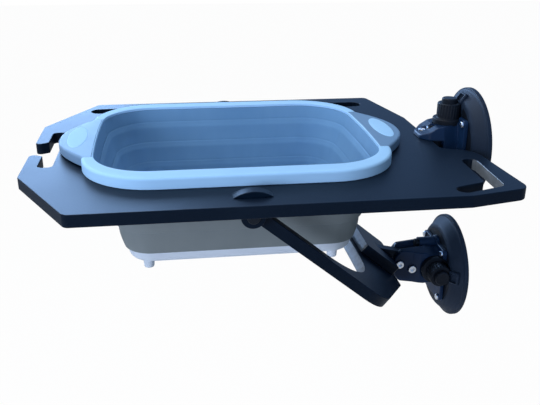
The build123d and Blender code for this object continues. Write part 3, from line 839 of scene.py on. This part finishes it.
def wall_band(index, node):
    """One band of the folding wall, grey outside and bluish inside, where the blue is painted sky light.
    """
    low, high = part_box(node)
    section = band_section(node, index, drop_to(high.z), drop_to(low.z))
    rings = [level_ring(opening(inset, drop), LIP_BOTTOM - drop) for inset, drop in section]
    piece = wrapped(f"{node}_fold", rings + rings[:1])
    seat(piece, WALL_INSIDE_SKY_LIT, node)
    piece.data.materials.append(WALL_OUTSIDE)
    # Faces turned outwards take the grey; all others keep the painted sky light of the inside.
    for face in piece.data.polygons:
        away = Vector((face.center.x - BASIN.x, face.center.y, 0.0)).normalized()
        if away.dot(face.normal) > outward_share and face.normal.z < edge_tilt:
            face.material_index = 1


def base_rings(inset, top, bottom, corner):
    """Rings of a tray's face from its top edge, round its bottom corner and in to its middle."""
    section = [(inset, top), (inset, bottom - corner)]
    section += [(inset + corner * (1 - cos(turn)), bottom - corner + corner * sin(turn))
                for turn in steps(0, pi / 2, base_round_steps)[1:]]
    rings = [level_ring(opening(step_in, drop), LIP_BOTTOM - drop) for step_in, drop in section]
    return rings + [shrunk(rings[-1])]


def basin_tray():
    """Rigid base with a round bottom corner and the drain's hole."""
    low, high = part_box("basin_base")
    seal_low, seal_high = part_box("drain_seal")
    top = drop_to(high.z)
    bottom = drop_to(low.z)
    inset = len(band_bulge) * band_step - wall_thickness
    outside = base_rings(inset, top, bottom, base_round)
    inside = base_rings(inset + base_skin, top, bottom - base_skin, base_round - base_skin)
    piece = wrapped("basin_tray", inside[::-1] + outside)
    drain = (seal_low + seal_high) / 2
    radius = (seal_high.x - seal_low.x) / 2 + drain_gap
    bpy.ops.object.select_all(action="DESELECT")
    bpy.ops.mesh.primitive_cylinder_add(vertices=drain_sides, radius=radius, depth=drain_cut,
                                        location=drain)
    combine(piece, bpy.context.object, "DIFFERENCE")
    smooth(piece)
    seat(piece, BASE_WHITE, "basin_base")


def basin_feet():
    """Four short tapered feet under the base."""
    low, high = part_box("basin_feet")
    height = high.z - low.z
    profile = rounded_turn([
        (0.0, 0.0, 0.0),
        (foot_radius * foot_taper, 0.0, foot_round),
        (foot_radius, height, 0.0),
        (0.0, height, 0.0),
    ])
    feet = []
    for x in (low.x + foot_radius, high.x - foot_radius):
        for y in (low.y + foot_radius, high.y - foot_radius):
            feet.append(lathe("foot", profile, Matrix.Translation((x, y, low.z)), foot_sides))
    only(feet[0])
    for foot in feet:
        foot.select_set(True)
    bpy.ops.object.join()
    feet[0].name = "tray_feet"
    seat(feet[0], BASE_WHITE, "basin_feet")


def plug():
    """Drain plug with a round knob."""
    low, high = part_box("drain_plug")
    seal_low, seal_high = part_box("drain_seal")
    flange = (high.x - low.x) / 2
    stem = (seal_high.x - seal_low.x) / 2
    place = Matrix.Translation(((low.x + high.x) / 2, (low.y + high.y) / 2, low.z))
    ledge = seal_high.z - low.z
    top = high.z - low.z
    profile = rounded_turn([
        (0.0, 0.0, 0.0),
        (stem - plug_chamfer, 0.0, plug_chamfer_round),
        (stem, plug_chamfer, plug_edge_round),
        (stem, ledge, 0.0),
        (flange, ledge, plug_edge_round),
        (flange, ledge + plug_flange_height, plug_flange_round),
        (knob_radius + plug_crown, ledge + plug_crown, knob_neck_round),
        (knob_radius * knob_neck_share, ledge + knob_neck_rise, knob_neck_round),
        (knob_radius, top - knob_round, knob_round),
        (knob_radius * knob_top_share, top, knob_round),
        (0.0, top, 0.0),
    ])
    seat(lathe("plug_body", profile, place, plug_sides), GRIP_GREY, "drain_plug", "drain_seal")


# Vacuum cups

def cup_frame(cup):
    """Placing matrix of a cup: x along its axis to the wall, z towards its pump."""
    if cup == "upper":
        return Matrix.Identity(4)
    face = next(mount for mount in record["mounts"] if mount["name"] == "lower_cup_face")
    return Matrix.Translation(face["pos_m"]) @ Matrix.Rotation(pi / 2, 4, "X")


def local_box(node, place):
    """A node's lowest and highest corners in a cup's own frame."""
    ends = [place.inverted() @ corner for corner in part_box(node)]
    low = Vector(min(end[axis] for end in ends) for axis in range(3))
    high = Vector(max(end[axis] for end in ends) for axis in range(3))
    return low, high


def cup_skirt(cup):
    """Domed rubber cup with a thin lip on the wall and a rounded hub at its back."""
    place = cup_frame(cup)
    low, high = local_box(f"{cup}_cup_rubber", place)
    plate_low, plate_high = local_box(f"{cup}_cup_plate", place)
    pump_low, pump_high = local_box(f"{cup}_pump_barrel", place)
    back = low.x
    dish = back + cup_dish
    web = dish + cup_web
    radius = (high.y - low.y) / 2
    hub = (plate_high.y - plate_low.y) / 2
    profile = rounded_turn([
        (0.0, dish, 0.0),
        (hub * cup_dish_share, dish, 0.0),
        (hub - hub_land, back + hub_sink, 0.0),
        (hub, back + hub_crown, hub_round),
        (hub + shoulder_set, back + shoulder_rise, shoulder_round),
        (radius - dome_set, back + dome_rise, dome_round),
        (radius - neck_set, -cup_lip_edge, neck_round),
        (radius - cup_lip_top_set, cup_lip_top_rise - cup_lip_edge, cup_lip_top_round),
        (radius, cup_lip_side_rise - cup_lip_edge, cup_lip_side_round),
        (radius, 0.0, cup_lip_face_round),
        (radius - cup_lip, 0.0, cup_lip_inner_round),
        (radius - cup_lip, chamber_edge - cup_lip, chamber_round),
        (hub, web, cup_web_round),
        (cup_pad, web, cup_pad_round),
        (cup_pad, dish, 0.0),
        (0.0, dish, 0.0),
    ])
    piece = lathe(f"{cup}_cup_skirt", profile, place @ Matrix.Rotation(pi / 2, 4, "Y"), cup_sides)
    loop_middle = (back + loop_rise, (pump_low.y + pump_high.y) / 2, radius - loop_set)
    lifting_loop(piece, place @ Matrix.Translation(loop_middle))
    seat(piece, RUBBER, f"{cup}_cup_rubber")


def lifting_loop(piece, place):
    """Raised loop round a hollow in a cup's back, for lifting its edge off the wall."""
    slope = place @ Matrix.Rotation(loop_lean, 4, "Y")
    above = slope @ Matrix.Translation((-loop_hole_rise, 0.0, 0.0))
    ridge = rounded_block(slope, (loop_height, loop_width, loop_length), loop_round)
    combine(piece, ridge, "UNION")
    hollow = rounded_block(above, (loop_height, loop_hole_width, loop_hole_length), loop_hole_round)
    combine(piece, hollow, "DIFFERENCE")
    smooth(piece)


def pump(cup):
    """Fluted pump body on a plain ring."""
    place = cup_frame(cup)
    low, high = local_box(f"{cup}_pump_barrel", place)
    plunger_low, plunger_high = local_box(f"{cup}_pump_plunger", place)
    ring = (high.x - low.x) / 2
    body = ring - pump_ring_step
    bore = (plunger_high.x - plunger_low.x) / 2 + pump_bore_gap
    foot = place @ Matrix.Translation(((low.x + high.x) / 2, (low.y + high.y) / 2, low.z))
    height = high.z - low.z
    flute_low = pump_ring_height + flute_margin
    flute_high = height - flute_margin

    def groove(angle, radius, level):
        """Depth of the grooves round the pump's body."""
        fluted = radius == body and flute_low <= level <= flute_high
        return flute_depth * sqrt(max(0.0, cos(flute_count * angle))) if fluted else 0.0

    profile = rounded_turn([
        (0.0, 0.0, 0.0),
        (ring, 0.0, pump_foot_round),
        (ring, pump_ring_height, pump_ring_round),
        (body, pump_ring_height + pump_neck_rise, pump_neck_round),
        (body, flute_low, 0.0),
        (body, flute_high, 0.0),
        (body - pump_top_chamfer, height, pump_top_chamfer),
        (bore, height, pump_bore_round),
        (bore, pump_floor, 0.0),
        (0.0, pump_floor, 0.0),
    ])
    piece = lathe(f"{cup}_pump_body", profile, foot, pump_sides, flute=groove)
    seat(piece, PUMP, f"{cup}_pump_barrel")


def nose_screws(cup):
    """Two socket screws along the adapter's nose; on the upper cup the inner one is painted dark as
    painted shade.
    """
    node = f"{cup}_nose_screws"
    piece = eased(node, STEEL, nose_screw_edge)
    if cup == "upper":
        low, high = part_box(node)
        # The inner screw's faces get the dark steel as painted shade.
        piece.data.materials.append(BLACK_STEEL_AND_SHADE)
        for face in piece.data.polygons:
            if face.center.x > (low.x + high.x) / 2:
                face.material_index = 1


def cup_set(cup):
    """One vacuum cup with its pump, hood, clamp, valve and screws."""
    cup_skirt(cup)
    pump(cup)
    eased(f"{cup}_adapter", HOOD, hood_edge)
    eased(f"{cup}_clamp_jaw", HOOD, jaw_edge)
    eased(f"{cup}_pump_plunger", PUMP, plunger_edge)
    eased(f"{cup}_valve_body", HOOD, valve_edge)
    eased(f"{cup}_valve_button", PUMP, plunger_edge)
    nose_screws(cup)
    eased(f"{cup}_flange_screws", STEEL, flange_screw_edge)
    paint(PUMP, f"{cup}_cup_plate")
    paint(RUBBER, f"{cup}_plunger_ring")
    paint(STEEL, f"{cup}_nose_nuts", f"{cup}_pump_spring")


# Table and whole basin

def paint_edge_highlight(piece, facing, corner):
    """Paint pale, as a painted highlight, the faces of a sheet piece that face one way, right of and in
    front of a corner.
    """
    piece.data.materials.append(PAINTED_EDGE_HIGHLIGHT)
    for face in piece.data.polygons:
        inside = face.center.x > corner.x and face.center.y < corner.y
        if inside and face.normal.dot(facing) > highlight_facing_share:
            face.material_index = 1


def table():
    """Board, hinge plates, support and the lower cup's tongue, with their pivots."""
    # Faces turned left inside the board's handle get a painted highlight.
    paint_edge_highlight(eased("table_board", SHEET, board_edge), leftwards, handle_corner)
    for node in ("hinge_plate_front", "hinge_plate_rear", "lower_tongue"):
        eased(node, SHEET, sheet_edge)
    support_corner = Vector((BASIN.x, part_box("support_yoke")[1].y, 0.0))
    # Faces turned up the support's slope get a painted highlight.
    for node in ("support_yoke", "yoke_block"):
        paint_edge_highlight(eased(node, SHEET, sheet_edge), up_slope, support_corner)
    eased("pivot_bolts", BLACK_STEEL_AND_SHADE, pivot_edge)
    eased("pivot_nuts", STEEL, pivot_edge)
    paint(STEEL, "yoke_block_screws")
    paint(BEARING, "pivot_bushes")


def basin():
    """Rim with its grips and caps, folding wall, base, feet and plug."""
    rim()
    for side in (-1, 1):
        grip(side)
        grip_cap(side)
    for index, node in enumerate(band_bulge):
        wall_band(index, node)
    basin_tray()
    basin_feet()
    plug()


# Studio

def camera():
    """Camera at the photograph's viewpoint."""
    data = bpy.data.cameras.new("photo_camera")
    data.sensor_width = sensor_width
    data.lens = focal_pixels / image_width * sensor_width
    holder = bpy.data.objects.new("photo_camera", data)
    holder.location = eye
    ahead = Vector((sin(yaw_right) * cos(pitch_down), cos(yaw_right) * cos(pitch_down), -sin(pitch_down)))
    turn = ahead.to_track_quat("-Z", "Y").to_matrix() @ Matrix.Rotation(roll, 3, "Z")
    holder.rotation_euler = turn.to_euler()
    bpy.context.collection.objects.link(holder)
    bpy.context.scene.camera = holder


def softbox(name, place, size, watts, colour):
    """Soft lamp, placed from the basin's middle and aimed at it."""
    middle = Vector((BASIN.x, 0.0, 0.0))
    data = bpy.data.lights.new(name, "AREA")
    data.shape = "RECTANGLE"
    data.size, data.size_y = size
    data.energy = watts
    data.color = colour
    lamp = bpy.data.objects.new(name, data)
    lamp.location = middle + Vector(place)
    lamp.rotation_euler = (-Vector(place)).to_track_quat("-Z", "Y").to_euler()
    bpy.context.collection.objects.link(lamp)
    return lamp


def world_light():
    """Dim pale surroundings, shown white to the camera.

    In gloss they are white on the left and blue on the right.
    """
    world = bpy.data.worlds.new("studio")
    bpy.context.scene.world = world
    world.use_nodes = True
    tree = world.node_tree
    output = tree.nodes["World Output"]
    path = tree.nodes.new("ShaderNodeLightPath")
    direction = tree.nodes.new("ShaderNodeTexCoord")
    seen = Wire(tree, path.outputs["Is Camera Ray"])
    through = Wire(tree, path.outputs["Is Transmission Ray"])
    gloss = Wire(tree, path.outputs["Is Glossy Ray"])
    heading = Wire(tree, direction.outputs["Generated"])
    sideways = heading.node("ShaderNodeSeparateXYZ", {0: heading})
    right = sideways.between(white_until, blue_from)
    white = seen.node("ShaderNodeBackground", {"Color": white_light, "Strength": 1.0})
    dim = seen.node("ShaderNodeBackground", {"Color": dim_light, "Strength": dim_strength})
    blue = seen.node("ShaderNodeBackground", {"Color": blue_light, "Strength": 1.0})
    reflected = seen.node("ShaderNodeMixShader", {0: right, 1: white, 2: blue})
    lit = seen.node("ShaderNodeMixShader", {0: gloss, 1: dim, 2: reflected})
    shown = seen.node("ShaderNodeMixShader", {0: seen.math("MAXIMUM", seen, through), 1: lit, 2: white})
    tree.links.new(shown.socket, output.inputs["Surface"])


def floor():
    """Pale floor well below the table, shown white but for a faint shadow."""
    bpy.ops.object.select_all(action="DESELECT")
    bpy.ops.mesh.primitive_plane_add(size=floor_size, location=(BASIN.x, floor_back, floor_level))
    plane = bpy.context.object
    plane.name = "studio_floor"
    material, shader, place = new_finish("studio_floor", Base_Color=floor_colour, Roughness=0.9)
    tree = place.tree
    path = tree.nodes.new("ShaderNodeLightPath")
    seen = Wire(tree, path.outputs["Is Camera Ray"])
    matte = Wire(tree, shader.outputs[0])
    glow = seen.node("ShaderNodeEmission", {"Color": white_light, "Strength": 1.0})
    mixed = seen.node("ShaderNodeMixShader", {0: seen * floor_glow, 1: matte, 2: glow})
    tree.links.new(mixed.socket, tree.nodes["Material Output"].inputs["Surface"])
    plane.data.materials.append(material)


def lamps():
    """Overhead and front softboxes, and a blue card that shows only in gloss."""
    softbox("overhead", place=(-0.35, 0.1, 1.45), size=(1.6, 1.2), watts=19.5,
            colour=(0.93, 0.96, 1.0))
    front = softbox("front", place=(-1.25, -1.5, 0.3), size=(1.0, 0.8), watts=28,
                    colour=(0.84, 0.87, 1.0))
    front.visible_glossy = False
    sky_card = softbox("sky_card", place=(-0.97, 2.07, 0.74), size=(1.8, 1.2), watts=95,
                       colour=(0.33, 0.57, 1.0))
    sky_card.visible_diffuse = False


table()
basin()
for cup in CUPS:
    cup_set(cup)
camera()
bpy.context.scene.view_settings.view_transform = "Standard"
world_light()
floor()
lamps()
